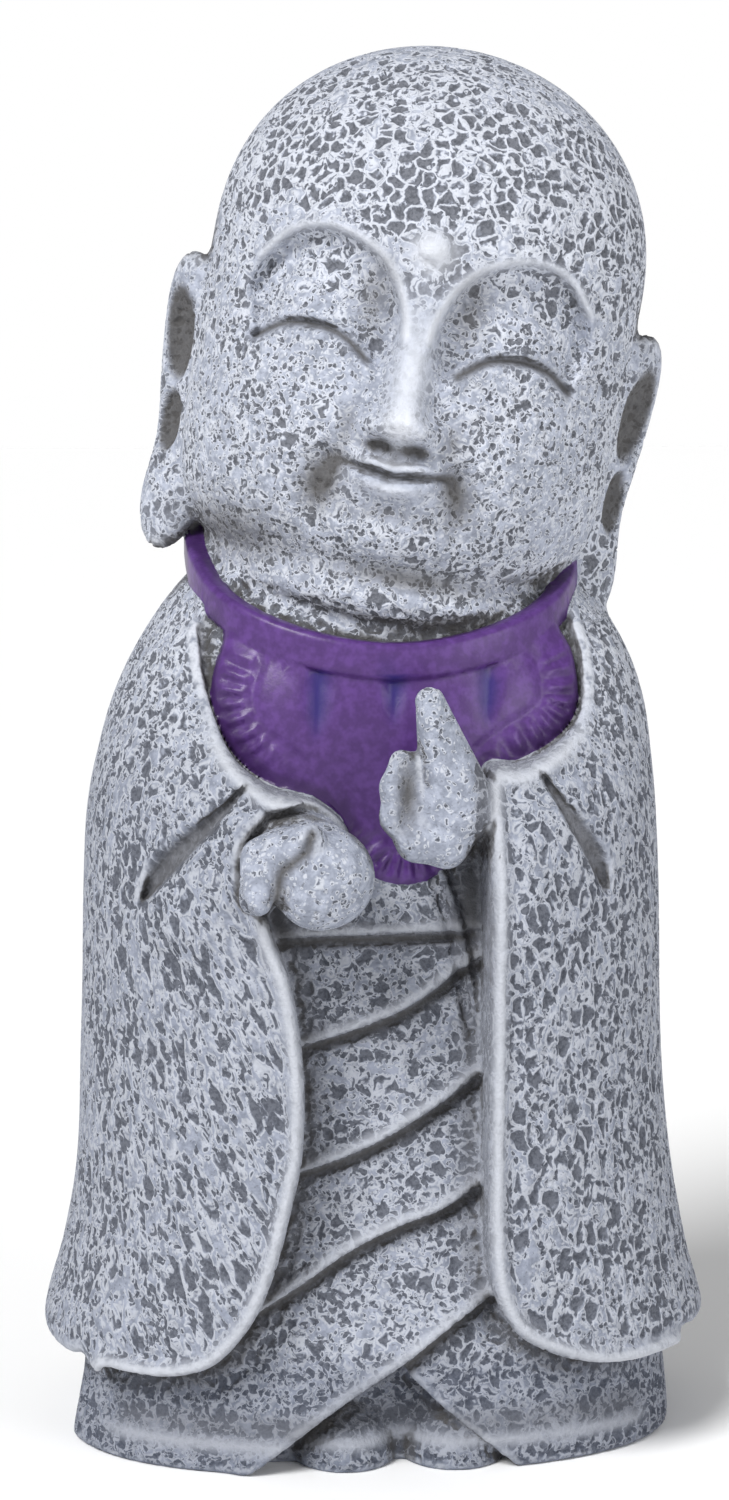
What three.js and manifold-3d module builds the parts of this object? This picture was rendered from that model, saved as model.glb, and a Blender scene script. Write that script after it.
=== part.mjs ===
// A jizo statue, cast in one piece in stone: a standing child monk in a robe with wide hanging sleeves,
// the right hand closed and the left hand raised, a bib round the neck and the head leaning to its left.
// Millimetres, +Z up. The statue faces -Y and +X is on a viewer's right. The origin is the middle of the
// flat underside. A body point is (x, y, z); a head point is (u, v, w), across, up and out of the face.
import * as THREE from "three";
import { mergeVertices } from "three/addons/utils/BufferGeometryUtils.js";
import Module from "manifold-3d";

const wasm = await Module();
wasm.setup();

// The statue is drawn at FIGURE_HEIGHT; HEIGHT is the height that it is cast at.
const FIGURE_HEIGHT = 379;
const HEIGHT = 379;
const FACET_TOLERANCE = 0.4; // how far facets may be merged from the drawn surface

// Robe: each row is height, half width, reach to the front and reach to the back
const HEM_HEIGHT = 26;
const MANTLE_HALF_WIDTH = 93; // at the hem
const MANTLE_ROWS = [
  [HEM_HEIGHT, MANTLE_HALF_WIDTH, 76, 70],
  [36, MANTLE_HALF_WIDTH - 2, 76, 68],
  [52, MANTLE_HALF_WIDTH - 6.5, 77, 65],
  [77, MANTLE_HALF_WIDTH - 10.7, 78, 61],
  [112, MANTLE_HALF_WIDTH - 12.8, 80, 58],
  [150, MANTLE_HALF_WIDTH - 13.7, 83, 57],
  [172, MANTLE_HALF_WIDTH - 14.8, 82, 57],
  [188, MANTLE_HALF_WIDTH - 17, 75, 57],
  [203, MANTLE_HALF_WIDTH - 20.5, 64, 55],
  [217, MANTLE_HALF_WIDTH - 26.5, 56, 51],
  [230, MANTLE_HALF_WIDTH - 35, 49, 46],
  [240, MANTLE_HALF_WIDTH - 44, 43, 41],
  [248, MANTLE_HALF_WIDTH - 55, 34, 34],
];
const MANTLE_SQUARENESS = 2.35;
const HEM_LIFT = 4; // the hem hangs higher on the left sleeve's outer side
const WAIST_SHIFT = -1.2; // the figure sways a little to one side and back
const SHOULDER_SHIFT = 2;
const BASE_HALF_WIDTH = 82;
const BASE_FRONT = 61;
const BASE_BACK = 60;
const GOWN_ROWS = [
  [0, BASE_HALF_WIDTH - 1.5, BASE_FRONT - 1.5, BASE_BACK - 1.5],
  [4, BASE_HALF_WIDTH, BASE_FRONT, BASE_BACK],
  [30, BASE_HALF_WIDTH - 3, BASE_FRONT - 2, BASE_BACK - 3],
  [70, BASE_HALF_WIDTH - 11, BASE_FRONT - 6, BASE_BACK - 6],
  [130, BASE_HALF_WIDTH - 15, BASE_FRONT - 9, BASE_BACK - 8],
  [165, BASE_HALF_WIDTH - 17, BASE_FRONT - 7, BASE_BACK - 10],
  [200, BASE_HALF_WIDTH - 15, BASE_FRONT - 7, BASE_BACK - 14],
  [222, BASE_HALF_WIDTH - 24, BASE_FRONT - 12, BASE_BACK - 20],
  [240, BASE_HALF_WIDTH - 39, BASE_FRONT - 20, BASE_BACK - 28],
];
const GOWN_SQUARENESS = 2.6;

// Front opening of the sleeves, as x and z of the edge from the neck down to the hem, on each side
const LEFT_EDGE = [
  [-53, 243], [-50, 228], [-48.5, 211], [-43, 194], [-33, 185], [-20, 181], [-12, 172], [-20, 160],
  [-33, 152], [-28, 135], [-24.8, 112], [-25, 90], [-28, 74], [-32, 58], [-38, 43.5], [-48, 31.5], [-61, HEM_HEIGHT],
];
const RIGHT_EDGE = [
  [63, HEM_HEIGHT], [47, 31], [33, 38.5], [26, 50], [23.9, 66], [23.7, 85], [23.8, 120], [23.5, 160], [23.5, 188],
  [34, 190.5], [45, 196], [51, 204], [51.5, 217], [49, 230], [54, 243],
];
const CUFF_POCKET = { x: -25.5, z: 166, radius: 17.3, back: 64 };

// Creases where each forearm leaves the shoulder, from the lower to the upper end
const CREASES = [
  { from: [-66, 155], to: [-39, 185] },
  { from: [56, 154], to: [39.5, 190] },
];
const CREASE_RADIUS = 2.8;

// Lower edges of the lapped cloth on the gown, from high to low, and how far each stands proud
const LAP_PROUD = 6.5;
const LAPS = [
  { edge: [[-34, 143], [-12, 144.2], [17, 145], [40, 147]], top: 176 },
  { edge: [[-40, 110], [-12.3, 118.1], [2.4, 123.8], [13, 130.4], [19, 135], [40, 146]], top: 158 },
  { edge: [[-44, 76], [-23.2, 81.4], [-5.8, 87.9], [10.2, 97], [23.6, 106.3], [40, 118]], top: 140 },
  { edge: [[-44, 38], [-24.7, 50.7], [-11.3, 59.9], [2, 66.4], [12.7, 70.3], [24.8, 77.4], [40, 86]], top: 115 },
  { edge: [[-47, -7], [-31.7, 5], [-14.3, 18.4], [1.8, 29], [12.5, 37], [23.2, 44.9], [44, 60]], top: 84 },
];
const FRONT_HEM = [[1.8, 29], [11, 19.2], [21, 10.5], [33, 0.5], [38, -4]];
const HEM_RECESS = 10; // depth of the hollow over the feet
const FOOT = {
  middle: 2.6, x: 14.8, y: -(BASE_FRONT - 18), z: 3, halfWidth: 14.9, halfLength: 19.5, halfHeight: 14.5,
};

// Bib and its neck band
const BIB_PROUD = 3;
const BIB_EDGE = [
  [-46, 236], [-43, 224], [-46.5, 212], [-46.5, 203], [-41, 192], [-32, 184], [-21, 176.5], [-11, 167],
  [-5, 160], [4, 157.5], [13, 161], [22, 172], [30, 186], [44.5, 195.5], [50.5, 204], [50, 217], [46, 226], [49, 236],
];
const BAND = {
  x: 1.5, halfWidth: 50.5, front: BASE_FRONT - 7.5, back: 45, frontHeight: 216.8, backHeight: 250,
  halfHeight: 4.8, halfThickness: 3.2,
};

// Hands
const CLOSED_HAND = [
  { from: [-28, -(BASE_FRONT + 5), 168], to: [-22, -80, 164], radius: 13, tipRadius: 12.6 }, // its back
  { from: [-30, -82, 171], to: [-22, -82, 160], radius: 7.5, tipRadius: 8.5 }, // knuckles
  { from: [-34, -82, 173], to: [-24, -87, 172.5], radius: 5.6, tipRadius: 5 }, // thumb, across the top
  { from: [-35, -83, 171], to: [-37.4, -87, 160.5], radius: 5, tipRadius: 4.6 }, // curled fingertip
];
const RAISED_HAND = [
  { from: [14, -(BASE_FRONT - 3), 178], to: [13.5, -74, 179.5], radius: 12, tipRadius: 10.6 }, // heel
  { from: [15, -76, 183], to: [7, -82, 209.3], radius: 9, tipRadius: 3.6 }, // fingers, held together
  { from: [0.2, -80, 193.5], to: [-1.6, -81, 180], radius: 3.2, tipRadius: 3.6 }, // thumb
  { from: [-1.6, -81, 180], to: [7, -78, 172], radius: 3.6, tipRadius: 5.6 }, // ball of the thumb
  { from: [2, -76, 191], to: [3.4, -76, 179], radius: 4.2, tipRadius: 5.5 }, // palm beside the thumb
];

// Head: half a ball above, and a squarer bowl below it
const HEAD_AT = [14.6, -3, 0];
const HEAD_LEAN = THREE.MathUtils.degToRad(10.5);
const HEAD_TURN = THREE.MathUtils.degToRad(-5);
const SKULL_RADIUS = 59;
const CHIN_REACH = 94; // from the middle of the skull down to the underside of the jaw
const CROWN_SQUARENESS = 2.2;
const CHIN_SQUARENESS = 7;
const NAPE_CUT = 14; // how far the back of the head draws in towards the nape
const THROAT = { u: 3, v: -(CHIN_REACH - 6), w: 0, halfWidth: 45, halfHeight: 15, halfDepth: 52 };
const NECK = { x: 1.5, y: -2, z: 238, halfWidth: 49.5, halfDepth: 46, halfHeight: 35 };
const URNA = { v: 5, radius: 4.2, sunk: 1.6 };
const EYE = { line: [[12, -27], [19, -22], [27, -20.3], [35, -21.5], [41.5, -25.5]], radius: 1.2 };
const LID = { u: 27, v: -13.5, sunk: 2.6, halfWidth: 14.5, halfHeight: 8.5, halfDepth: 5 };
const BROW = { line: [[4, -15], [8.5, -5], [16, 2.2], [27, 5.5], [37, 3], [44, -5]], radius: 2.6, sunk: 1.4 };
const NOSE = { top: -5, tip: -40.5, reach: 2.6, topRadius: 4, tipRadius: 5.2 };
const NOSTRIL = { u: 6, v: -43, radius: 4 };
const MOUTH = { v: -55, halfWidth: 14, smile: 2.2, radius: 1 };
const LIP = { v: -59.3, halfWidth: 8.5, halfHeight: 2.7, halfDepth: 2.6 };
const EAR = {
  u: SKULL_RADIUS - 1.7, w: 0, top: -7.5, bottom: -(CHIN_REACH - 5),
  halfBreadth: 12.5, halfThickness: 5.6, flare: 4.5, tilt: 2.2,
};
const EAR_TURN = THREE.MathUtils.degToRad(42); // the ears stand open, their hollows to the front

// Shapes and their solids

// Rises from 0 at a to 1 at b, whichever of the two is the larger.
const smooth = (a, b, t) => {
  const share = THREE.MathUtils.clamp((t - a) / (b - a), 0, 1);
  return share * share * (3 - 2 * share);
};
const bump = (u, v, u0, v0, su, sv) => Math.exp(-(((u - u0) / su) ** 2) - ((v - v0) / sv) ** 2);
const vectors = (points) => points.map(([x, z]) => new THREE.Vector2(x, z));

function solid(geometry) {
  geometry.deleteAttribute("normal");
  geometry.deleteAttribute("uv");
  const merged = mergeVertices(geometry, 1e-4);
  const triVerts = new Uint32Array(merged.index.array);
  return new wasm.Manifold(
    new wasm.Mesh({ numProp: 3, vertProperties: merged.attributes.position.array, triVerts }),
  );
}

// Moves each vertex of a geometry to where place puts it.
function warp(geometry, place) {
  const at = geometry.attributes.position;
  const p = new THREE.Vector3();
  for (let i = 0; i < at.count; i++) {
    place(p.fromBufferAttribute(at, i));
    at.setXYZ(i, p.x, p.y, p.z);
  }
  return geometry;
}

// A smooth curve through rows, read at height z: gives the other numbers of a row.
function readRows(rows, z) {
  const last = rows.length - 1;
  const i = THREE.MathUtils.clamp(rows.findIndex((row) => row[0] > z) - 1, 0, last - 1);
  const k = z >= rows[last][0] ? last - 1 : i;
  const t = THREE.MathUtils.clamp((z - rows[k][0]) / (rows[k + 1][0] - rows[k][0]), 0, 1);
  const slope = (j, n) => {
    const [a, b] = [rows[Math.max(j - 1, 0)], rows[Math.min(j + 1, last)]];
    return (b[n] - a[n]) / (b[0] - a[0]);
  };
  const span = rows[k + 1][0] - rows[k][0];
  return rows[k].slice(1).map((_, n) => {
    const [p0, p1] = [rows[k][n + 1], rows[k + 1][n + 1]];
    const [m0, m1] = [slope(k, n + 1) * span, slope(k + 1, n + 1) * span];
    const [t2, t3] = [t * t, t * t * t];
    return (2 * t3 - 3 * t2 + 1) * p0 + (t3 - 2 * t2 + t) * m0 + (3 * t2 - 2 * t3) * p1 + (t3 - t2) * m1;
  });
}

// Distance from the axis to a rounded-square section, in the direction angle (0 is the front).
function sectionRadius([halfWidth, front, back], angle, squareness) {
  const across = Math.abs(Math.sin(angle)) / halfWidth;
  const along = Math.abs(Math.cos(angle)) / (Math.cos(angle) > 0 ? front : back);
  return (across ** squareness + along ** squareness) ** (-1 / squareness);
}

const lean = (z) => WAIST_SHIFT * smooth(60, 110, z) + (SHOULDER_SHIFT - WAIST_SHIFT) * smooth(165, 225, z);

// An upright column whose sections follow rows. Each section is wound round the statue's axis.
function column(rows, squareness, segments, rings) {
  const [bottom, top] = [rows[0][0], rows[rows.length - 1][0]];
  const tube = new THREE.CylinderGeometry(1, 1, 1, segments, rings);
  return warp(tube, (p) => {
    const angle = Math.atan2(p.x, p.z);
    const z = THREE.MathUtils.lerp(bottom, top, p.y + 0.5);
    const r = Math.hypot(p.x, p.z) * sectionRadius(readRows(rows, z), angle, squareness);
    p.set(lean(z) + r * Math.sin(angle), -r * Math.cos(angle), z);
  });
}

// y of the front of a column at x and z
function frontOf(rows, squareness, x, z) {
  const [halfWidth, front] = readRows(rows, z);
  const share = Math.min(Math.abs(x - lean(z)) / halfWidth, 0.98);
  return -front * (1 - share ** squareness) ** (1 / squareness);
}
const gownFront = (x, z) => frontOf(GOWN_ROWS, GOWN_SQUARENESS, x, z);

// A block over a grid in x and z, whose front follows surface(x, z) and whose back is flat.
function block([x0, x1], [z0, z1], [columns, rows], surface, back) {
  const box = new THREE.BoxGeometry(1, 1, 1, columns, 1, rows);
  return warp(box, (p) => {
    const x = THREE.MathUtils.lerp(x0, x1, p.x + 0.5);
    const z = THREE.MathUtils.lerp(z0, z1, p.z + 0.5);
    p.set(x, p.y < 0 ? surface(x, z) : back, z);
  });
}

// A flat outline in x and z, pushed from y = back forwards to y = front.
function slab(shape, back, front, curveSegments = 2) {
  const depth = back - front;
  const pushed = new THREE.ExtrudeGeometry(shape, { depth, steps: 1, bevelEnabled: false, curveSegments });
  return pushed.rotateX(Math.PI / 2).translate(0, back, 0);
}

function ellipsoid({ x = 0, y = 0, z = 0 }, [rx, ry, rz], segments = 18) {
  const ball = new THREE.SphereGeometry(1, segments, Math.round(segments * 0.6)).rotateX(Math.PI / 2);
  return ball.scale(rx, ry, rz).translate(x, y, z);
}

// A rod with round ends between two points, from radius to tipRadius.
function rod({ from, to, radius, tipRadius = radius }, sides = 10) {
  const [a, b] = [new THREE.Vector3(...from), new THREE.Vector3(...to)];
  const length = a.distanceTo(b);
  const profile = [];
  const turns = 3;
  for (let i = 0; i <= turns; i++) {
    const t = (i / turns) * (Math.PI / 2);
    profile.push(new THREE.Vector2(radius * Math.sin(t), -radius * Math.cos(t)));
  }
  for (let i = 0; i <= turns; i++) {
    const t = (i / turns) * (Math.PI / 2);
    profile.push(new THREE.Vector2(tipRadius * Math.cos(t), length + tipRadius * Math.sin(t)));
  }
  profile[0].x = 0;
  profile[profile.length - 1].x = 0;
  const along = b.clone().sub(a).normalize();
  const turn = new THREE.Quaternion().setFromUnitVectors(new THREE.Vector3(0, 1, 0), along);
  return new THREE.LatheGeometry(profile, sides).applyQuaternion(turn).translate(a.x, a.y, a.z);
}

// A round wire along points of a smooth line.
function wire(points, radius, steps = 12, sides = 6) {
  const circle = new THREE.Shape().absarc(0, 0, radius, 0, 2 * Math.PI);
  const extrudePath = new THREE.CatmullRomCurve3(points.map((p) => new THREE.Vector3(...p)));
  return new THREE.ExtrudeGeometry(circle, { steps, curveSegments: sides, extrudePath });
}

const join = (...parts) => parts.map(solid).reduce((a, b) => a.add(b));

// Robe

function mantle() {
  const cloth = solid(warp(column(MANTLE_ROWS, MANTLE_SQUARENESS, 44, 16), (p) => {
    p.z += HEM_LIFT * smooth(10, MANTLE_HALF_WIDTH, p.x) * smooth(HEM_HEIGHT + 50, HEM_HEIGHT, p.z);
  }));
  const opening = new THREE.Shape();
  opening.moveTo(...LEFT_EDGE[0]);
  opening.splineThru(vectors(LEFT_EDGE.slice(1)));
  opening.lineTo(LEFT_EDGE[LEFT_EDGE.length - 1][0], HEM_HEIGHT - 10);
  opening.lineTo(RIGHT_EDGE[0][0], HEM_HEIGHT - 10);
  opening.lineTo(...RIGHT_EDGE[0]);
  opening.splineThru(vectors(RIGHT_EDGE.slice(1)));
  opening.lineTo(RIGHT_EDGE[RIGHT_EDGE.length - 1][0], 260);
  opening.lineTo(LEFT_EDGE[0][0], 260);
  const { x, z, radius, back } = CUFF_POCKET;
  const pocket = new THREE.Shape().absarc(x, z, radius, 0, 2 * Math.PI);
  return cloth
    .subtract(solid(slab(opening, -30, -120)))
    .subtract(solid(slab(pocket, -back, -120, 10)));
}

// The cloth that laps over the gown: each lap is proud at its lower edge and dies away upwards.
function laps() {
  const edgeHeight = (edge, x) => {
    const i = THREE.MathUtils.clamp(edge.findLastIndex((p) => p[0] <= x), 0, edge.length - 2);
    return THREE.MathUtils.mapLinear(x, edge[i][0], edge[i + 1][0], edge[i][1], edge[i + 1][1]);
  };
  return LAPS.map(({ edge, top }) => {
    const [x0, x1] = [edge[0][0], edge[edge.length - 1][0]];
    const bottom = Math.min(...edge.map((p) => p[1]));
    const surface = (x, z) => {
      const above = Math.max(z - edgeHeight(edge, x), 0);
      const side = smooth(x0, x0 + 14, x) * (1 - smooth(x1 - 16, x1, x));
      return gownFront(x, z) - LAP_PROUD * side * Math.exp(-above / 26) * (1 - smooth(top - 18, top, z)) + 0.4;
    };
    const cloth = solid(block([x0, x1], [bottom, top], [7, 5], surface, -25));
    const shape = new THREE.Shape().moveTo(x0, top + 1).lineTo(...edge[0]);
    shape.splineThru(vectors(edge.slice(1)));
    shape.lineTo(x1, top + 1);
    return cloth.intersect(solid(slab(shape, -20, -90, 2)));
  });
}

// The hollow under the front hem, where the feet show.
function hemHollow() {
  const left = LAPS[LAPS.length - 1].edge.slice(0, 4);
  const shape = new THREE.Shape().moveTo(...left[0]);
  shape.splineThru(vectors(left.slice(1)));
  shape.splineThru(vectors(FRONT_HEM.slice(1)));
  shape.lineTo(FRONT_HEM[FRONT_HEM.length - 1][0], -20);
  shape.lineTo(left[0][0], -20);
  return solid(slab(shape, -(BASE_FRONT - HEM_RECESS), -90, 2));
}

function feet() {
  const { middle, x, y, z, halfWidth, halfLength, halfHeight } = FOOT;
  const size = [halfWidth, halfLength, halfHeight];
  return join(ellipsoid({ x: middle - x, y, z }, size), ellipsoid({ x: middle + x, y, z }, size));
}

function creases() {
  return CREASES.map(({ from, to }) => {
    const points = [0, 0.25, 0.5, 0.75, 1].map((t) => {
      const [x, z] = [THREE.MathUtils.lerp(from[0], to[0], t), THREE.MathUtils.lerp(from[1], to[1], t)];
      return [x, frontOf(MANTLE_ROWS, MANTLE_SQUARENESS, x, z) - CREASE_RADIUS * (1 - t) * 0.6, z];
    });
    return solid(wire(points, CREASE_RADIUS, 8, 3));
  });
}

// Bib and band

function bib() {
  const xs = BIB_EDGE.map((p) => p[0]);
  const zs = BIB_EDGE.map((p) => p[1]);
  const surface = (x, z) => gownFront(x, z) - BIB_PROUD;
  const [low, high] = [Math.min(...zs) - 2, Math.max(...zs) + 2];
  const range = [Math.min(...xs) - 2, Math.max(...xs) + 2];
  const cloth = solid(block(range, [low, high], [10, 7], surface, -20));
  const shape = new THREE.Shape().moveTo(...BIB_EDGE[0]);
  shape.splineThru(vectors(BIB_EDGE.slice(1)));
  return cloth.intersect(solid(slab(shape, -15, -90, 2)));
}

function band() {
  const { x, halfWidth, front, back, frontHeight, backHeight, halfHeight, halfThickness } = BAND;
  const ring = new THREE.TorusGeometry(1, 0.3, 6, 32);
  return solid(
    warp(ring, (p) => {
      const angle = Math.atan2(p.x, -p.y);
      const out = ((Math.hypot(p.x, p.y) - 1) / 0.3) * halfThickness;
      const reach = sectionRadius([halfWidth, front, back], angle, GOWN_SQUARENESS) + out;
      const rise = smooth(0, 2.2, Math.abs(angle));
      p.z = THREE.MathUtils.lerp(frontHeight, backHeight, rise) + (p.z / 0.3) * halfHeight;
      p.x = x + reach * Math.sin(angle);
      p.y = -reach * Math.cos(angle);
    }),
  );
}

// Hands

const hands = () => join(...[...CLOSED_HAND, ...RAISED_HAND].map((finger) => rod(finger)));

// Head

// Broad relief of the face, outwards along w, at u across and v up from the middle of the skull.
function faceRelief(u, v) {
  const a = Math.abs(u);
  const socket = -3.6 * bump(a, v, 20, -9, 13, 9) - 2.4 * bump(a, v, 32, -6, 13, 8);
  const cheek = 2.8 * bump(a, v, 32, -46, 18, 18) - 1.6 * bump(a, v, 17, -42, 5, 12);
  const muzzle = 2.8 * bump(u, v, 0, -55, 17, 9);
  const dimple = -2.6 * bump(a, v, MOUTH.halfWidth + 3, MOUTH.v + 1, 4, 4);
  const chin = 3 * bump(u, v, 0, -72, 13, 8);
  return socket + cheek + muzzle + dimple + chin;
}

// The head's surface at latitude (1 the crown, -1 under the chin) and at angle round it, 0 in front.
function headPoint(latitude, angle) {
  const below = latitude < 0;
  const v = latitude * (below ? CHIN_REACH : SKULL_RADIUS);
  const power = below ? CHIN_SQUARENESS : CROWN_SQUARENESS;
  const ring = Math.sqrt(Math.max(1 - Math.abs(latitude) ** power, 0));
  const back = Math.cos(angle) < 0 ? NAPE_CUT * smooth(0, -1, latitude) * Math.cos(angle) ** 2 : 0;
  const u = ring * SKULL_RADIUS * Math.sin(angle);
  const w = ring * (SKULL_RADIUS - back) * Math.cos(angle);
  return new THREE.Vector3(u, v, w + faceRelief(u, v) * smooth(0.2, 0.6, Math.cos(angle) * ring));
}

function skull() {
  return warp(new THREE.SphereGeometry(1, 38, 30), (p) => {
    const angle = Math.atan2(p.x, p.z);
    const closer = angle - 0.42 * Math.sin(angle); // finer facets on the face than behind
    p.copy(Math.hypot(p.x, p.z) < 1e-6 ? headPoint(Math.sign(p.y), 0) : headPoint(p.y, closer));
  });
}

// A point on the face at u, v, raised by out.
function onFace(u, v, out = 0) {
  const latitude = v / (v < 0 ? CHIN_REACH : SKULL_RADIUS);
  const ring = Math.sqrt(1 - Math.abs(latitude) ** (v < 0 ? CHIN_SQUARENESS : CROWN_SQUARENESS));
  const p = headPoint(latitude, Math.asin(u / (ring * SKULL_RADIUS)));
  return [p.x, p.y, p.z + out];
}

// Each ear is a long leaf with a full lobe, turned open to the front, with two hollows on its outer side.
// How far an ear stands out from its root at a share of its height, 1 at the top and -1 at the lobe.
const earLean = (height) => EAR.flare * height ** 2 + EAR.tilt * height;

function ear(side) {
  const [middle, half] = [(EAR.top + EAR.bottom) / 2, (EAR.top - EAR.bottom) / 2];
  const inPlace = (geometry) =>
    geometry.rotateY(-side * EAR_TURN).translate(side * EAR.u, middle, EAR.w);
  const leaf = warp(new THREE.SphereGeometry(1, 12, 14), (p) => {
    const height = p.y;
    const full = Math.sqrt(1 + height ** 2); // a blunter top and lobe than a ball's
    const breadth = EAR.halfBreadth * full * (1 - 0.2 * bump(height, 0, -0.25, 0, 0.3, 1));
    const out = EAR.halfThickness * full * (1 + 0.2 * bump(height, 0, -0.75, 0, 0.3, 1));
    p.set(p.x * out + side * earLean(height), height * half, p.z * breadth);
  });
  const hollow = (height, halfHeight) =>
    inPlace(new THREE.SphereGeometry(1, 10, 6).scale(3.2, halfHeight, 5.6)
      .translate(side * (EAR.halfThickness + 0.4 + EAR.tilt * height), height * half, -1.5));
  return solid(inPlace(leaf)).subtract(join(hollow(0.52, 11), hollow(-0.06, 9)));
}

const onBothSides = (make) => [-1, 1].map(make);

// A wire along a line of points on the face, raised or sunk by out.
const faceLine = (line, side, radius, out) =>
  wire(line.map(([u, v]) => onFace(side * u, v, out)), radius, 2 * line.length, 4);

function faceBall({ u = 0, v, halfWidth, halfHeight, halfDepth }, side, out) {
  const [x, y, z] = onFace(side * u, v, out);
  const ball = new THREE.SphereGeometry(1, 12, 8).scale(halfWidth, halfHeight, halfDepth);
  return ball.rotateY(side * Math.asin(u / SKULL_RADIUS)).translate(x, y, z);
}

function head() {
  const slits = onBothSides((side) => faceLine(EYE.line, side, EYE.radius, 0.3));
  const lids = onBothSides((side) => faceBall(LID, side, -LID.sunk));
  const brows = onBothSides((side) => faceLine(BROW.line, side, BROW.radius, -BROW.sunk));
  const nostrils = onBothSides((side) => rod({
    from: onFace(side * NOSTRIL.u, NOSTRIL.v, -4), to: onFace(side * NOSTRIL.u, NOSTRIL.v, 1),
    radius: NOSTRIL.radius,
  }));
  const nose = rod({
    from: onFace(0, NOSE.top, -NOSE.topRadius), to: onFace(0, NOSE.tip, NOSE.reach),
    radius: NOSE.topRadius, tipRadius: NOSE.tipRadius,
  });
  const { v, halfWidth, smile, radius } = MOUTH;
  const mouth = [-1, -0.5, 0, 0.5, 1].map((t) => [t * halfWidth, v + smile * t * t]);
  const lip = faceBall(LIP, 1, 0);
  const [, , forehead] = onFace(0, URNA.v);
  const urna = new THREE.SphereGeometry(URNA.radius, 14, 10).translate(0, URNA.v, forehead - URNA.sunk);
  const throat = new THREE.SphereGeometry(1, 18, 9)
    .scale(THROAT.halfWidth, THROAT.halfHeight, THROAT.halfDepth)
    .translate(THROAT.u, THROAT.v, THROAT.w);
  const raised = join(skull(), ...lids, ...brows, ...nostrils, nose, lip, urna, throat);
  const carved = raised.subtract(join(...slits, faceLine(mouth, 1, radius, 0.2)));
  return carved.add(ear(-1)).add(ear(1));
}

// Turns a head solid upright, turns it to look, leans it and lifts it to its height.
function placeHead(part) {
  const height = FIGURE_HEIGHT - SKULL_RADIUS;
  const matrix = new THREE.Matrix4()
    .makeTranslation(HEAD_AT[0], HEAD_AT[1], height)
    .multiply(new THREE.Matrix4().makeRotationY(HEAD_LEAN))
    .multiply(new THREE.Matrix4().makeRotationZ(HEAD_TURN))
    .multiply(new THREE.Matrix4().makeRotationX(Math.PI / 2));
  return part.transform(matrix.elements);
}

function neck() {
  return solid(ellipsoid(NECK, [NECK.halfWidth, NECK.halfDepth, NECK.halfHeight], 22));
}

// The whole figure, cut flat at the underside

function figure() {
  const gown = laps().reduce((a, b) => a.add(b), solid(column(GOWN_ROWS, GOWN_SQUARENESS, 40, 10)));
  const under = gown.subtract(hemHollow()).add(feet());
  const robe = creases().reduce((a, b) => a.subtract(b), mantle());
  const dressed = [robe, bib(), band(), neck(), hands(), placeHead(head())].reduce((a, b) => a.add(b), under);
  const ground = new THREE.BoxGeometry(400, 400, 100).translate(0, 0, -50);
  return dressed.subtract(solid(ground)).simplify(FACET_TOLERANCE);
}

function mesh(name, part, material) {
  const { vertProperties, triVerts, numProp } = part.getMesh();
  const geometry = new THREE.BufferGeometry();
  const position = new Float32Array((vertProperties.length / numProp) * 3);
  for (let i = 0; i < position.length / 3; i++) {
    for (let k = 0; k < 3; k++) position[3 * i + k] = vertProperties[numProp * i + k];
  }
  geometry.setAttribute("position", new THREE.BufferAttribute(position, 3));
  geometry.setIndex(new THREE.BufferAttribute(triVerts, 1));
  geometry.computeVertexNormals();
  const made = new THREE.Mesh(geometry, material);
  made.name = name;
  return made;
}

const stone = new THREE.MeshStandardMaterial({ color: 0xa9adb3, roughness: 0.9, metalness: 0 });

const statue = new THREE.Group();
const cast = mesh("jizo_statue", figure(), stone);
cast.scale.setScalar(HEIGHT / FIGURE_HEIGHT);
statue.add(cast);

export default statue;
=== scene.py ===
# The looks of the cast stone jizo statue: one carved mesh that stands for the CAD solid, its stone and
# paint, the floor, the lights and the camera. The carving is a distance field on a grid, in millimetres,
# with the CAD's sizes; it is meshed, pitted and thinned, then put in metres in the CAD's frame.
# The statue faces -Y and +X is on a viewer's right. A head point is (u, v, w): across, up, out.
import math

import bpy
import numpy as np
import openvdb
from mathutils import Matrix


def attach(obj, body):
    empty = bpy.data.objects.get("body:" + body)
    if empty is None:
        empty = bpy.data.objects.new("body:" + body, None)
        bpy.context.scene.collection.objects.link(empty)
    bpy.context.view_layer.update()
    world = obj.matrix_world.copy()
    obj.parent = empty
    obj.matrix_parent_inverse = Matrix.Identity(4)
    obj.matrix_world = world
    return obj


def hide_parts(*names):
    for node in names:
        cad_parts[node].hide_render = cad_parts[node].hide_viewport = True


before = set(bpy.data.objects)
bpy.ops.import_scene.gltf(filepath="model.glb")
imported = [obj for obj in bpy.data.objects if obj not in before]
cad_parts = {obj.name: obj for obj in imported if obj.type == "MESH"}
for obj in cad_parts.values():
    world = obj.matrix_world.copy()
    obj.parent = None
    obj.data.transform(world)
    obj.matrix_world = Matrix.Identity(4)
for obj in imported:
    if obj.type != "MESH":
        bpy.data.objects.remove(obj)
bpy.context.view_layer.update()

CELL = 0.8  # spacing of the grid that the carving is worked out on
ALL_TRIANGLES = 390000
PIT_DEPTH = 0.75

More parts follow.
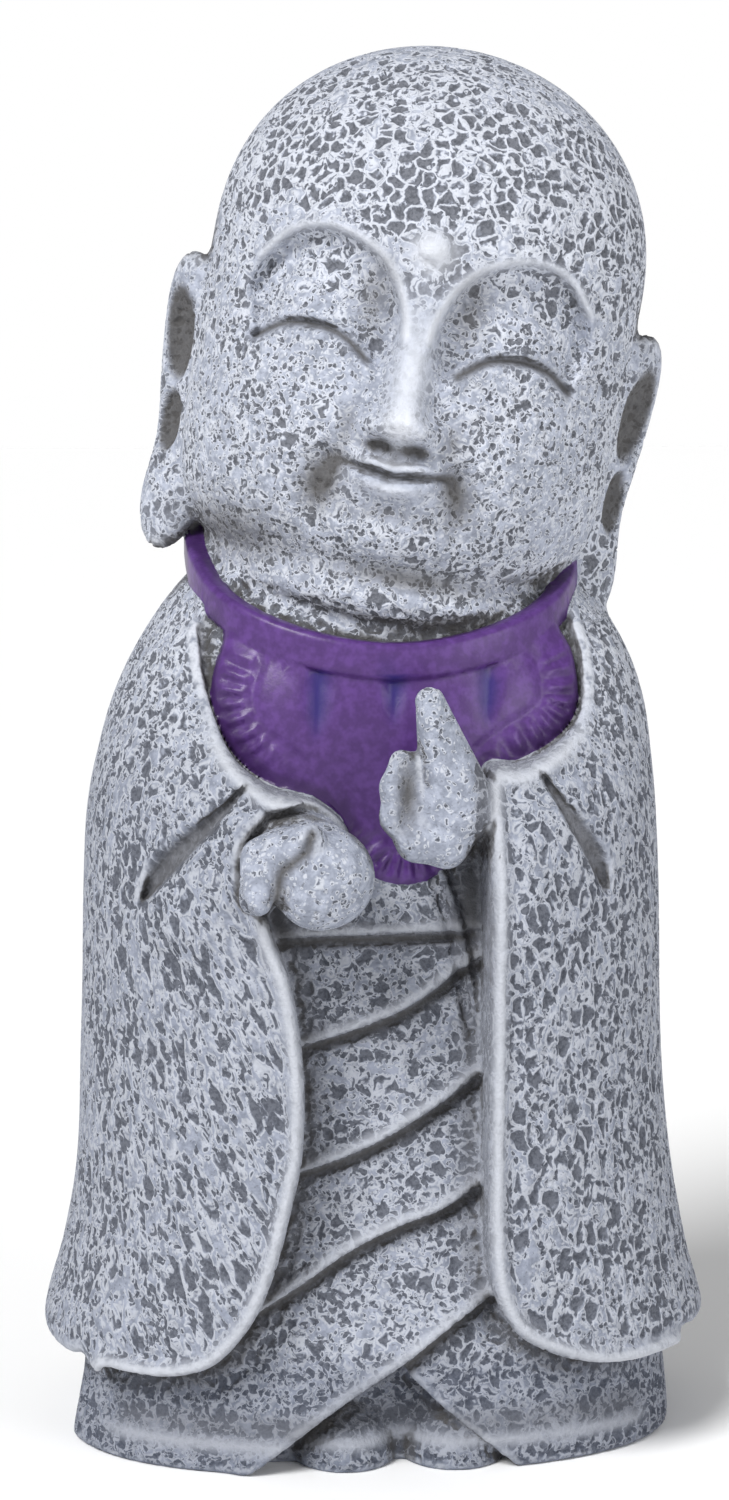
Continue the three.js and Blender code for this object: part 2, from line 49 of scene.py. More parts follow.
# Sizes shared with the CAD
HEIGHT = 379.0
HEM_HEIGHT = 26.0
HEM_LIFT = 4.0
MANTLE_ROWS = [  # height, half width, reach to the front, reach to the back
    (HEM_HEIGHT, 93, 76, 70), (36, 91, 76, 68), (52, 86.5, 77, 65), (77, 82.3, 78, 61),
    (112, 80.2, 80, 58), (150, 79.3, 83, 57), (172, 78.2, 82, 57), (188, 76, 75, 57),
    (203, 72.8, 64, 55), (217, 67, 56, 51), (230, 58.5, 49, 46), (240, 49, 43, 41), (248, 38, 34, 34),
]
MANTLE_SQUARENESS = 2.35
WAIST_SHIFT = -1.2
SHOULDER_SHIFT = 2.0
GOWN_ROWS = [
    (0, 80.5, 59.5, 58.5), (4, 82, 61, 60), (30, 79, 59, 57), (70, 71, 55, 54), (130, 67, 52, 52),
    (165, 65, 54, 50), (200, 67, 54, 46), (222, 58, 49, 40), (240, 43, 41, 32),
]
GOWN_SQUARENESS = 2.6
LEFT_EDGE = [
    (-53, 248), (-53, 243), (-50, 228), (-48.5, 211), (-43, 194), (-33, 185), (-20, 181), (-12, 172),
    (-20, 160), (-33, 152), (-28, 135), (-24.8, 112), (-25, 90), (-28, 74), (-32, 58), (-38, 43.5),
    (-48, 31.5), (-61, 26.5), (-76, 26),
]
RIGHT_EDGE = [
    (78, 26.5), (63, 26.8), (47, 31), (33, 38.5), (26, 50), (23.9, 66), (23.7, 85), (23.8, 120),
    (23.5, 160), (23.5, 188), (34, 190.5), (45, 196), (51, 204), (51.5, 217), (49, 230), (54, 243), (54, 248),
]
CUFF = dict(x=-25.0, z=165.6, radius=15.8, back=69.0)
CREASES = [((-65, 154), (-38.5, 186)), ((55.5, 156.5), (37.5, 188.5))]  # lower and upper end
LAPS = [
    [(-34, 143), (-12, 144.2), (17, 145), (40, 147)],
    [(-40, 110), (-12.3, 118.1), (2.4, 123.8), (13, 130.4), (19, 135), (40, 146)],
    [(-44, 76), (-23.2, 81.4), (-5.8, 87.9), (10.2, 97), (23.6, 106.3), (40, 118)],
    [(-44, 38), (-24.7, 50.7), (-11.3, 59.9), (2, 66.4), (12.7, 70.3), (24.8, 77.4), (40, 86)],
    [(-47, -7), (-31.7, 5), (-14.3, 18.4), (1.8, 29), (12.5, 37), (23.2, 44.9), (44, 60)],
]
LAP_PROUD = 6.2
FRONT_HEM = [(1.8, 29), (11, 19.2), (21, 10.5), (33, 0.5), (38, -4)]
HEM_RECESS = 10.0
FOOT = dict(middle=2.6, x=14.8, y=-43.0, z=3.0, size=(14.9, 20, 14.8))
BIB_EDGE = [
    (-46, 236), (-43, 224), (-46.5, 212), (-46.5, 203), (-41, 192), (-32, 184), (-21, 176.5), (-11, 167),
    (-5, 160), (4, 157.5), (13, 161), (22, 172), (30, 186), (44.5, 195.5), (50.5, 204), (50, 217),
    (46, 226), (49, 236),
]
BIB_PROUD = 3.0
PLEATS = [(-19, 194), (1, 198), (26, 197)]  # x at the band, and the height that each one fades out at
BAND = dict(x=1.5, half_width=50.5, front=53.5, back=45.0, front_height=216.8, back_height=250.0)
HEAD_AT = (14.6, -3.0)
SKULL_RADIUS = 59.0
CHIN_REACH = 94.0
CROWN_SQUARENESS = 2.2
CHIN_SQUARENESS = 7
FACE_DROP = 0.8
HEAD_LEAN = math.radians(10.5)
HEAD_TURN = math.radians(-5)


# Grid and small shapes

def axis(low, high):
    return np.arange(low, high + CELL, CELL, dtype=np.float32)


XS, YS, ZS = axis(-99, 99), axis(-98, 76), axis(-4, 385)
ROBE_CELLS = int((256 - ZS[0]) / CELL)  # the robe's part of the grid, from the ground up
X, Y, Z = XS[:, None, None], YS[None, :, None], ZS[None, None, :ROBE_CELLS]
FLAT_X, FLAT_Z = (line.astype(np.float32) for line in np.meshgrid(XS, ZS[:ROBE_CELLS], indexing="ij"))


def step(a, b, t):
    """Rises smoothly from 0 at a to 1 at b, whichever is the larger."""
    share = np.clip((t - a) / (b - a), 0, 1)
    return share * share * (3 - 2 * share)


def bump(u, v, u0, v0, su, sv):
    return np.exp(-(((u - u0) / su) ** 2) - ((v - v0) / sv) ** 2)


def join(a, b, blend):
    """Union of two distance fields with a fillet."""
    share = np.clip(0.5 + 0.5 * (b - a) / blend, 0, 1)
    return b + (a - b) * share - blend * share * (1 - share)


def cut(a, b, blend):
    """Takes the inside of b out of a, with a rounded edge."""
    return -join(-a, b, blend)


def smooth_line(points, steps=8):
    """A smooth curve through the points."""
    p = np.array(points, dtype=float)
    before = np.vstack([2 * p[0] - p[1], p[:-1]])
    after = np.vstack([p[1:], 2 * p[-1] - p[-2]])
    slope = (after - before) / 2
    out = []
    for i in range(len(p) - 1):
        t = np.linspace(0, 1, steps, endpoint=False)[:, None]
        out.append((2 * t**3 - 3 * t**2 + 1) * p[i] + (t**3 - 2 * t**2 + t) * slope[i]
                   + (3 * t**2 - 2 * t**3) * p[i + 1] + (t**3 - t**2) * slope[i + 1])
    return np.vstack(out + [p[-1:]])


def line_distance(points, a, b):
    """Distance from each (a, b) to a line of points, and how far along the line the nearest place is."""
    best = np.full(a.shape, 1e6)
    along = np.zeros(a.shape)
    run = 0.0
    for p, q in zip(points[:-1], points[1:]):
        span = q - p
        length = math.hypot(*span)
        share = np.clip(((a - p[0]) * span[0] + (b - p[1]) * span[1]) / length**2, 0, 1)
        gap = np.hypot(a - p[0] - share * span[0], b - p[1] - share * span[1])
        nearer = gap < best
        best = np.where(nearer, gap, best)
        along = np.where(nearer, run + share * length, along)
        run += length
    return best, along


def signed(outline, a, b):
    """Signed distance to a closed outline, negative inside."""
    closed = np.vstack([outline, outline[:1]])
    gap, _ = line_distance(closed, a, b)
    inside = np.zeros(a.shape, dtype=bool)
    for p, q in zip(closed[:-1], closed[1:]):
        if p[1] == q[1]:
            continue
        crosses = (p[1] > b) != (q[1] > b)
        inside ^= crosses & (a < (q[0] - p[0]) * (b - p[1]) / (q[1] - p[1]) + p[0])
    return np.where(inside, -gap, gap)


def on_grid(flat):
    """A map over x and z, spread along y."""
    return flat.astype(np.float32)[:, None, :]


def read_rows(rows, z):
    """The numbers of rows at each height, by a smooth curve."""
    table = np.array(rows, dtype=float)
    dense = smooth_line(table, 12)
    return [np.interp(z, dense[:, 0], dense[:, n]).astype(np.float32) for n in range(1, 4)]


def lean(z):
    return WAIST_SHIFT * step(60, 110, z) + (SHOULDER_SHIFT - WAIST_SHIFT) * step(165, 225, z)


def column(rows, squareness):
    """Distance to an upright column whose sections follow rows."""
    half_width, front, back = read_rows(rows, Z)
    x = X - lean(Z)
    reach = np.where(Y < 0, front, back)
    shape = ((np.abs(x) / half_width) ** squareness + (np.abs(Y) / reach) ** squareness) ** (1 / squareness)
    out = np.hypot(x, Y)
    return (out - out / np.maximum(shape, 1e-3)) * 0.96


def front_of(rows, squareness, x, z):
    """y of the front of a column at x and z."""
    half_width, front, _ = read_rows(rows, z)
    share = np.minimum(np.abs(x - lean(z)) / half_width, 0.98)
    return -front * (1 - share**squareness) ** (1 / squareness)


class Window:
    """A box of the grid, so that a small shape is worked out only round itself."""

    def __init__(self, low, high):
        self.cut = tuple(
            slice(max(int((a - line[0]) / CELL), 0), min(int((b - line[0]) / CELL) + 2, len(line)))
            for line, a, b in zip((XS, YS, ZS), low, high)
        )
        i, j, k = self.cut
        self.x, self.y, self.z = XS[i, None, None], YS[None, j, None], ZS[None, None, k]


def around(points, margin):
    p = np.array(points, dtype=float)
    return Window(p.min(0) - margin, p.max(0) + margin)


def rod_distance(x, y, z, start, end, radius, tip):
    """Distance to a rod with round ends that tapers from radius to tip."""
    a, span = np.array(start, float), np.array(end, float) - np.array(start, float)
    share = ((x - a[0]) * span[0] + (y - a[1]) * span[1] + (z - a[2]) * span[2]) / (span @ span)
    share = np.clip(share, 0, 1).astype(np.float32)
    gap = np.sqrt((x - a[0] - share * span[0]) ** 2 + (y - a[1] - share * span[1]) ** 2
                  + (z - a[2] - share * span[2]) ** 2)
    return gap - (radius + (tip - radius) * share)


def ball_distance(x, y, z, size):
    """Distance to an ellipsoid at the origin."""
    a = np.sqrt((x / size[0]) ** 2 + (y / size[1]) ** 2 + (z / size[2]) ** 2)
    b = np.sqrt((x / size[0] ** 2) ** 2 + (y / size[1] ** 2) ** 2 + (z / size[2] ** 2) ** 2)
    return a * (a - 1) / np.maximum(b, 1e-4)


def rods(parts, blend):
    """Rods joined to each other, and the window that they lie in."""
    window = around([end for rod in parts for end in rod[:2]], 20)
    group = None
    for start, end, radius, tip in parts:
        one = rod_distance(window.x, window.y, window.z, start, end, radius, tip)
        group = one if group is None else join(group, one, blend)
    return window, group


# Robe

def opening_edge(x, z):
    """Signed distance to the edge of the robe's front opening, negative in the opening."""
    return signed(np.vstack([
        smooth_line(LEFT_EDGE), [(-76, 10), (78, 10)], smooth_line(RIGHT_EDGE), [(54, 262), (-53, 262)],
    ]), x, z)


def crease_map(x, z):
    """The fold over each forearm: sharp on the side of the hands, running out softly on the other side."""
    for (x0, z0), (x1, z1) in CREASES:
        length = math.hypot(x1 - x0, z1 - z0)
        side = math.copysign(1, -x0)
        across = -side * ((x - x0) * (z1 - z0) - (z - z0) * (x1 - x0)) / length
        share = ((x - x0) * (x1 - x0) + (z - z0) * (z1 - z0)) / length**2
        width = 1.6 + 5.4 * step(1.05, 0.35, share) * step(-0.08, 0.25, share)
        yield step(-0.5, 0.5, across) * step(width, 0.25 * width, across) * step(-0.05, 0.04, share) * step(1.06, 0.95, share)


def heights_above_laps(x, z):
    """For each lap, how far a place is above its lower edge."""
    for edge in LAPS:
        line = smooth_line(edge)
        slope = np.interp(x, (line[1:, 0] + line[:-1, 0]) / 2, np.diff(line[:, 1]) / np.diff(line[:, 0]))
        yield (z - np.interp(x, line[:, 0], line[:, 1])) / np.sqrt(1 + slope**2)


def mantle():
    body = column(MANTLE_ROWS, MANTLE_SQUARENESS)
    hem = HEM_HEIGHT + HEM_LIFT * step(10, 93, X) * step(20, -30, Y)
    body = cut(body, Z - hem, 5)
    body = -join(-body, 249 - Z, 4)
    x, z = FLAT_X, FLAT_Z
    edge = opening_edge(x, z)
    front = step(-22, -34, Y)
    relief = 1.7 * np.exp(-(((edge - 2.6) / 2.1) ** 2)) * step(196, 184, z)
    relief = relief - 0.8 * np.exp(-(((edge - 6.4) / 1.8) ** 2)) * step(196, 184, z)
    for fold in crease_map(x, z):
        relief = relief - 3.8 * fold
    forearm, _ = line_distance(np.array([(-54, 150), (-38, 168)], float), x, z)
    relief = relief + 3.2 * np.exp(-((forearm / 11) ** 2))
    forearm, _ = line_distance(np.array([(38, 172), (34, 150)], float), x, z)
    relief = relief + 2.2 * np.exp(-((forearm / 12) ** 2))
    cuff_gap = np.hypot(x - CUFF["x"], z - CUFF["z"]) - CUFF["radius"]
    relief = relief + 0.8 * np.exp(-(((cuff_gap - 3.2) / 2.4) ** 2))
    body = body - on_grid(relief) * front
    body = cut(body, -join(-on_grid(edge), -(Y + 30), 2), 3.2)
    pocket = -join(-on_grid(cuff_gap), -(Y + CUFF["back"]), 2)
    return cut(body, pocket, 2.2)


def lap_relief():
    """How far the lapped cloth stands off the gown, over x and z."""
    relief = np.zeros(FLAT_X.shape)
    groove = np.zeros(FLAT_X.shape)
    for above in heights_above_laps(FLAT_X, FLAT_Z):
        proud = LAP_PROUD * np.exp(-np.maximum(above, 0) / 24) * step(-0.5, 0.7, above)
        proud = proud + 0.9 * np.exp(-(((above - 2.2) / 1.6) ** 2))
        relief = np.maximum(relief, proud)
        groove = groove + 1.6 * np.exp(-(((above + 1.5) / 1.3) ** 2))
    line = smooth_line(FRONT_HEM)
    gap, _ = line_distance(line, FLAT_X, FLAT_Z)
    height = np.interp(FLAT_X, line[:, 0], line[:, 1])
    right = step(0, 3, FLAT_X) * (FLAT_Z > height)
    relief = np.maximum(relief, right * 2.6 * np.exp(-gap / 16))
    return relief - groove * (relief < 4.6)


def gown():
    plain = column(GOWN_ROWS, GOWN_SQUARENESS)
    x, z = FLAT_X, FLAT_Z
    front = step(-4, -24, Y)
    relief = lap_relief() * step(172, 150, z)
    collar = smooth_line([(9, 170), (14.5, 157), (18.5, 143), (23.5, 120)])
    gap, _ = line_distance(collar, x, z)
    relief = relief + 1.5 * np.exp(-((gap / 1.3) ** 2)) - 1.4 * np.exp(-(((gap - 2.6) / 1.2) ** 2)) * (x < 22)
    body = plain - on_grid(relief) * front
    hem_line = smooth_line(LAPS[-1])
    hem_left = hem_line[hem_line[:, 0] < 1.8]
    outline = np.vstack([hem_left, smooth_line(FRONT_HEM), [(38, -20), (-47, -20)]])
    hollow = signed(outline, x, z)
    deep = -join(-on_grid(hollow), -(Y + 61 - HEM_RECESS), 2)
    body = cut(body, deep, 1.5)
    body = -join(-body, 243 - Z, 4)
    feet = None
    for side in (-1, 1):
        x = X - FOOT["middle"] - side * FOOT["x"]
        foot = ball_distance(x, Y - FOOT["y"], Z - FOOT["z"], FOOT["size"])
        feet = foot if feet is None else np.minimum(feet, foot)
    return plain, join(body, feet, 1.2)


def pleat_map(x, z):
    """Three short pleats that open downwards from the band."""
    total = 0
    for middle, low in PLEATS:
        width = 1.3 + 1.6 * step(low, low + 14, z)
        total = total + np.exp(-(((x - middle - 0.06 * (z - 214)) / width) ** 2)) * step(low, low + 10, z)
    return total


def bib(plain):
    outline = smooth_line(BIB_EDGE)
    x, z = FLAT_X, FLAT_Z
    edge = signed(outline, x, z)
    _, along = line_distance(outline, x, z)
    frill = 0.75 * np.sin(along * 2 * math.pi / 5.2) * step(-0.5, -3.5, edge) * step(-11, -6, edge)
    frilled = np.maximum(step(185, 196, z) * step(224, 214, z), step(178, 168, z))
    frill = frill * frilled
    seam = -0.8 * np.exp(-(((edge + 10.5) / 1.3) ** 2)) * frilled
    pleats = -1.2 * pleat_map(x, z)
    folds = 0.8 * bump(x, z, 3, 182, 5, 22) - 0.5 * bump(x, z, -10, 186, 6, 20) + 0.4 * bump(x, z, -24, 195, 8, 18)
    surface = plain - on_grid(BIB_PROUD + frill + seam + pleats + folds)
    shape = -join(-surface, -on_grid(edge), 2.0)
    under_band = band_height(X, Y) - Z
    shape = -join(-shape, under_band, 2)
    return -join(-shape, -(Y + 18), 2)


def band_height(x, y):
    turned = np.abs(np.arctan2(x - BAND["x"], -y))
    return BAND["front_height"] + (BAND["back_height"] - BAND["front_height"]) * step(0, 2.2, turned)


def band():
    x = X - BAND["x"]
    reach = np.where(Y < 0, BAND["front"], BAND["back"])
    shape = (np.abs(x) / BAND["half_width"]) ** GOWN_SQUARENESS + (np.abs(Y) / reach) ** GOWN_SQUARENESS
    out = np.hypot(x, Y)
    sideways = out - out / np.maximum(shape, 1e-3) ** (1 / GOWN_SQUARENESS)
    upwards = (Z - band_height(X, Y)) * 0.94
    a, b = np.abs(sideways) - 1.4, np.abs(upwards) - 3.0
    return np.hypot(np.maximum(a, 0), np.maximum(b, 0)) + np.minimum(np.maximum(a, b), 0) - 1.7


# Hands

CLOSED_HAND = [
    ((-28, -66, 168), (-20, -79, 163.5), 13, 13.4),
    ((-30, -80, 169), (-22, -82, 160), 8, 9),
    ((-35.5, -82, 169), (-24.5, -87.5, 174.5), 5.0, 4.6),
    ((-36.5, -82, 169), (-37.6, -87, 159.5), 4.8, 4.6),
]
RAISED_HAND = [
    ((14, -58, 178), (13.5, -73, 180), 12, 11),
    ((15, -75, 183), (7.4, -81.5, 209.0), 9.6, 3.9),
    ((0.2, -79.5, 193.5), (-1.8, -81, 187), 3.0, 3.2),
    ((-1.8, -81, 187), (-1.4, -81, 179), 3.2, 3.6),
    ((-1.4, -81, 179), (4, -79.5, 172.5), 3.6, 4.6),
    ((4, -79.5, 172.5), (12, -77, 171), 4.6, 6),
    ((2, -76, 191), (3.4, -76, 179), 4.2, 5.5),
]


FIST_FOLDS = [
    ((-31.6, -89.5, 165.5), (-32.6, -90, 157.5), 1.2, 2.8),
    ((-31.2, -90.5, 166.5), (-25.5, -91.8, 171.5), 1.3, 1.3),
    ((-24.8, -91.8, 172.0), (-23.6, -91.2, 176.5), 1.4, 1.2),
]


def hands():
    """The closed hand and the raised hand, each with the window it lies in."""
    window, fist = rods(CLOSED_HAND, 2.5)
    for start, end, radius, tip in FIST_FOLDS:
        fold = rod_distance(window.x, window.y, window.z, start, end, radius, tip)
        fist = cut(fist, fold, 1.4)
    yield window, fist
    window, raised = rods(RAISED_HAND, 3.0)
    hollow = rod_distance(window.x, window.y, window.z, (1.0, -84.5, 193), (2.2, -85.2, 178), 1.6, 2.9)
    yield window, cut(raised, hollow, 1.6)


# Head

URNA = dict(v=4.2, w=58.8, radius=4.4)
BROW = [(3.2, -19), (4.2, -13), (8.5, -4), (16, 2.6), (27, 5.8), (37, 3), (44, -5)]
EYE_LINE = [(12, -27), (19, -22), (27, -20.3), (35, -21.5), (42, -26)]


def mirrored(line):
    return np.array(line, float) * (-1, 1)


def mouth_height(u):
    return -54.6 + 1.2 * (u / 14) ** 2 - 0.8 * np.exp(-((u / 3) ** 2))


def face_map(u, v):
    """Relief of the face over u and v, outwards along w."""
    a = np.abs(u)
    brow = smooth_line(BROW)
    eye = smooth_line(EYE_LINE)
    brow_gap, _ = line_distance(brow, a, v)
    eye_gap, eye_along = line_distance(eye, a, v)
    socket = signed(np.vstack([brow, [(46, -14)], eye[::-1], [(8, -30)]]), a, v)
    eye_height = np.interp(a, eye[:, 0], eye[:, 1])
    relief = 0.9 * np.exp(-((brow_gap / 1.5) ** 2))
    relief = relief - 5.8 * step(0.8, -3.4, socket)
    relief = relief + 4.6 * bump(a, v, 28, -16, 12.5, 7.5) * step(0, -3, socket)
    upper = (v > eye_height) & (a > 10) & (a < 44)
    in_reach = step(9, 13, a) * step(45, 41, a)
    relief = relief + 1.3 * np.exp(-(((v - eye_height - 2.2) / 1.6) ** 2)) * in_reach
    relief = relief - 3.0 * np.exp(-((eye_gap / 1.1) ** 2)) * step(-1, 3, eye_along)
    relief = relief + 0.7 * np.exp(-(((v - eye_height + 3) / 2.4) ** 2)) * in_reach * (~upper)

    rise = np.interp(v, [-49.5, -47.5, -45, -41, -36, -28, -18, -8, 0], [0, 1.6, 7.0, 10.0, 8.8, 6.2, 3.8, 1.5, 0])
    width = np.interp(v, [-48, -43, -38, -28, -16, -4], [7, 7.2, 6.0, 4.8, 4.4, 5.0])
    relief = relief + rise * np.exp(-((a / width) ** 3.2))
    relief = relief + 5.0 * bump(a, v, 7.8, -43.0, 3.6, 3.2)
    relief = relief - 3.0 * bump(a, v, 4.4, -47.6, 2.2, 1.6)
    relief = relief - 1.2 * bump(a, v, 12.6, -43, 2.2, 4.5)
    relief = relief - 0.7 * bump(u, v, 0, -50.6, 1.7, 1.8)

    mouth = mouth_height(u)
    span = step(15, 12.5, a)
    relief = relief + 2.6 * bump(u, v, 0, -55, 17, 8.5)
    relief = relief + 2.0 * np.exp(-(((v - mouth - 1.9) / 1.3) ** 2)) * step(13, 8, a)
    relief = relief + 2.6 * np.exp(-(((v - mouth + 3.4) / 2.2) ** 2)) * step(12, 5, a)
    relief = relief - 2.6 * np.exp(-(((v - mouth) / 0.95) ** 2)) * span
    relief = relief - 3.8 * bump(a, v, 16.4, -53, 3.2, 3.6)
    relief = relief - 1.6 * bump(a, v, 18, -62, 5, 7)
    relief = relief - 1.4 * bump(u, v, 0, -64.6, 9, 2.2) - 1.5 * bump(u, v, 9, -81.5, 18, 2.6)
    relief = relief + 3.2 * bump(u, v, 0, -72.5, 14, 7.5)
    relief = relief + 3.0 * bump(a, v, 31, -45, 17, 17)
    relief = relief - 0.9 * bump(a, v, 20, -56, 3.5, 10)
    return relief


def sample_map(flat, a, b, a0, b0, pitch):
    """Reads a flat map at a and b, between its cells."""
    fa = np.clip((a - a0) / pitch, 0, flat.shape[0] - 1.001)
    fb = np.clip((b - b0) / pitch, 0, flat.shape[1] - 1.001)
    ia, ib = fa.astype(np.int32), fb.astype(np.int32)
    ra, rb = fa - ia, fb - ib
    return ((flat[ia, ib] * (1 - ra) + flat[ia + 1, ib] * ra) * (1 - rb)
            + (flat[ia, ib + 1] * (1 - ra) + flat[ia + 1, ib + 1] * ra) * rb)


def head_axes():
    """Rows are the head's u, v and w directions in the statue's frame."""
    c, s = math.cos(HEAD_LEAN), math.sin(HEAD_LEAN)
    tc, ts = math.cos(HEAD_TURN), math.sin(HEAD_TURN)
    lean_turn = np.array([[c, 0, s], [0, 1, 0], [-s, 0, c]])
    look = np.array([[tc, -ts, 0], [ts, tc, 0], [0, 0, 1]])
    upright = np.array([[1, 0, 0], [0, 0, -1], [0, 1, 0]])
    return (lean_turn @ look @ upright).T


HEAD_MIDDLE = np.array([HEAD_AT[0], HEAD_AT[1], HEIGHT - SKULL_RADIUS])


def to_head(x, y, z):
    rows = head_axes()
    dx, dy, dz = x - HEAD_MIDDLE[0], y - HEAD_MIDDLE[1], z - HEAD_MIDDLE[2]
    return [(row[0] * dx + row[1] * dy + row[2] * dz).astype(np.float32) for row in rows]


EAR = dict(u=57.3, w=0.0, top=-7.5, bottom=-89.0, breadth=12.5, thickness=5.6, flare=4.5, tilt=2.2)
EAR_TURN = math.radians(42)


EAR_HOLLOWS = ((0.46, 0.36, 7.2, 5.6), (-0.14, 0.24, 5.2, 4.6))  # height share, half sizes along and deep


def in_ear(u, v, w, side):
    """Height share from -1 to 1, place across the leaf, and place out of it."""
    middle, half = (EAR["top"] + EAR["bottom"]) / 2, (EAR["top"] - EAR["bottom"]) / 2
    du, dw = side * u - EAR["u"], w - EAR["w"]
    c, s = math.cos(EAR_TURN), math.sin(EAR_TURN)
    h = (v - middle) / half
    return h, -s * du + c * dw, c * du + s * dw - EAR["flare"] * h**2 - EAR["tilt"] * h


def ear_distance(u, v, w, side):
    """One ear: a long leaf with a rolled rim and a full lobe, standing open to the front."""
    h, along, out = in_ear(u, v, w, side)
    full = np.sqrt(1 + np.clip(h, -1, 1) ** 2)
    breadth = EAR["breadth"] * full * (1 - 0.2 * np.exp(-(((h + 0.25) / 0.3) ** 2)))
    thickness = EAR["thickness"] * full * (1 + 0.2 * np.exp(-(((h + 0.75) / 0.3) ** 2)))
    ring = np.sqrt((along / breadth) ** 2 + (out / thickness) ** 2 + h**2)
    leaf = (ring - 1) * thickness * 1.1
    for h0, tall, wide, deep in EAR_HOLLOWS:
        ring = np.sqrt(((h - h0) / tall) ** 2 + ((along + 1.8) / wide) ** 2 + ((out - thickness - 1) / deep) ** 2)
        leaf = cut(leaf, (ring - 1) * deep, 1.2)
    return leaf


def head():
    window = Window((-65, -80, 205), (92, 74, 384))
    u, v, w = to_head(window.x, window.y, window.z)
    below = v < 0
    reach = np.where(below, CHIN_REACH, SKULL_RADIUS)
    power = np.where(below, CHIN_SQUARENESS, CROWN_SQUARENESS)
    nape = np.where(w < 0, 14 * step(0, -1, v / CHIN_REACH) * np.clip(-w / SKULL_RADIUS, 0, 1), 0)
    depth = SKULL_RADIUS - nape
    share = np.abs(v) / reach
    value = (u / SKULL_RADIUS) ** 2 + (w / depth) ** 2 + share**power
    slope = np.sqrt((2 * u / SKULL_RADIUS**2) ** 2 + (2 * w / depth**2) ** 2
                    + (power * share ** (power - 1) / reach) ** 2)
    body = (value - 1) / np.maximum(slope, 0.012)

    pitch = 0.5
    us, vs = np.arange(-62, 62, pitch), np.arange(-96, 20, pitch)
    flat = face_map(us[:, None] + 0 * vs[None, :], vs[None, :] + FACE_DROP + 0 * us[:, None]).astype(np.float32)
    fade = step(8, 26, w)
    body = body - sample_map(flat, u, v, us[0], vs[0], pitch) * fade

    urna = np.sqrt(u**2 + (v - URNA["v"]) ** 2 + (w - URNA["w"]) ** 2) - URNA["radius"]
    body = join(body, urna, 0.6)
    throat = ball_distance(u - 3, v + 88, w, (45, 15, 52))
    body = join(body, throat, 6)
    for side in (-1, 1):
        body = join(body, ear_distance(u, v, w, side), 1.6)
    return window, body


# The whole field. The painted bib is kept apart from the stone, so that the paint ends where they meet.

PARTS = ("mantle", "gown", "hands", "head", "bib")


def carve():
    robe = mantle()
    plain, under = gown()
    parts = {"mantle": robe, "gown": under, "bib": np.minimum(bib(plain), band())}
    stone = np.full((len(XS), len(YS), len(ZS)), 30, np.float32)
    stone[:, :, :ROBE_CELLS] = join(robe, under, 1.5)
    parts["hands"] = stone[:, :, :ROBE_CELLS] * 0 + 30
    for window, hand in hands():
        stone[window.cut] = join(stone[window.cut], hand, 1.0)
        parts["hands"][window.cut] = np.minimum(parts["hands"][window.cut], hand)
    neck = ball_distance(X - 1.5, Y + 2, Z - 238, (49.5, 46, 35))
    stone[:, :, :ROBE_CELLS] = join(stone[:, :, :ROBE_CELLS], neck, 2.0)
    window, top = head()
    stone[window.cut] = join(stone[window.cut], top, 2.2)
    stone = np.maximum(stone, -ZS[None, None, :])

    nearest = np.full(stone.shape, 30, np.float32)
    label = np.full(stone.shape, PARTS.index("head"), np.uint8)
    nearest[window.cut] = top
    nearest[:, :, :ROBE_CELLS] = np.minimum(nearest[:, :, :ROBE_CELLS], neck)
    painted = np.full(stone.shape, 30, np.float32)
    painted[:, :, :ROBE_CELLS] = parts["bib"]
    for name, field in parts.items():
        low = nearest[:, :, :ROBE_CELLS]
        label[:, :, :ROBE_CELLS][field < low] = PARTS.index(name)
        np.minimum(low, field, out=low)
    return stone, painted, label


def sample(field, points):
    """Reads a field on the grid at points."""
    at = [np.clip((points[:, n] - line[0]) / CELL, 0, len(line) - 1.001)
          for n, line in enumerate((XS, YS, ZS))]
    low = [a.astype(np.int32) for a in at]
    rest = [a - b for a, b in zip(at, low)]
    total = 0
    for i in (0, 1):
        for j in (0, 1):
            for k in (0, 1):
                weight = ((rest[0] if i else 1 - rest[0]) * (rest[1] if j else 1 - rest[1])
                          * (rest[2] if k else 1 - rest[2]))
                total = total + weight * field[low[0] + i, low[1] + j, low[2] + k]
    return total


def mesh_from(field):
    grid = openvdb.FloatGrid(10.0)
    grid.copyFromArray(np.clip(field, -10, 10))
    points, quads = grid.convertToQuads()
    points = points * CELL + np.array([XS[0], YS[0], ZS[0]])
    return points, quads


def make_mesh(name, points, faces):
    """A mesh in metres from points in millimetres and faces that all have as many corners."""
    sides = faces.shape[1]
    mesh = bpy.data.meshes.new(name)
    mesh.vertices.add(len(points))
    mesh.vertices.foreach_set("co", (points / 1000).astype(np.float32).ravel())
    mesh.loops.add(faces.size)
    mesh.loops.foreach_set("vertex_index", faces.astype(np.int32).ravel())
    mesh.polygons.add(len(faces))
    mesh.polygons.foreach_set("loop_start", np.arange(0, faces.size, sides, dtype=np.int32))
    mesh.update(calc_edges=True)
    return mesh


def read_points(mesh):
    count = len(mesh.vertices)
    points, normals = np.empty(count * 3, np.float32), np.empty(count * 3, np.float32)
    mesh.vertices.foreach_get("co", points)
    mesh.vertices.foreach_get("normal", normals)
    return points.reshape(-1, 3) * 1000, normals.reshape(-1, 3)


def store(mesh, name, values):
    layer = mesh.attributes.get(name) or mesh.attributes.new(name, "FLOAT", "POINT")
    layer.data.foreach_set("value", values.astype(np.float32))


# Pattern of the hammered stone, as nodes that work in a shader and in geometry nodes alike

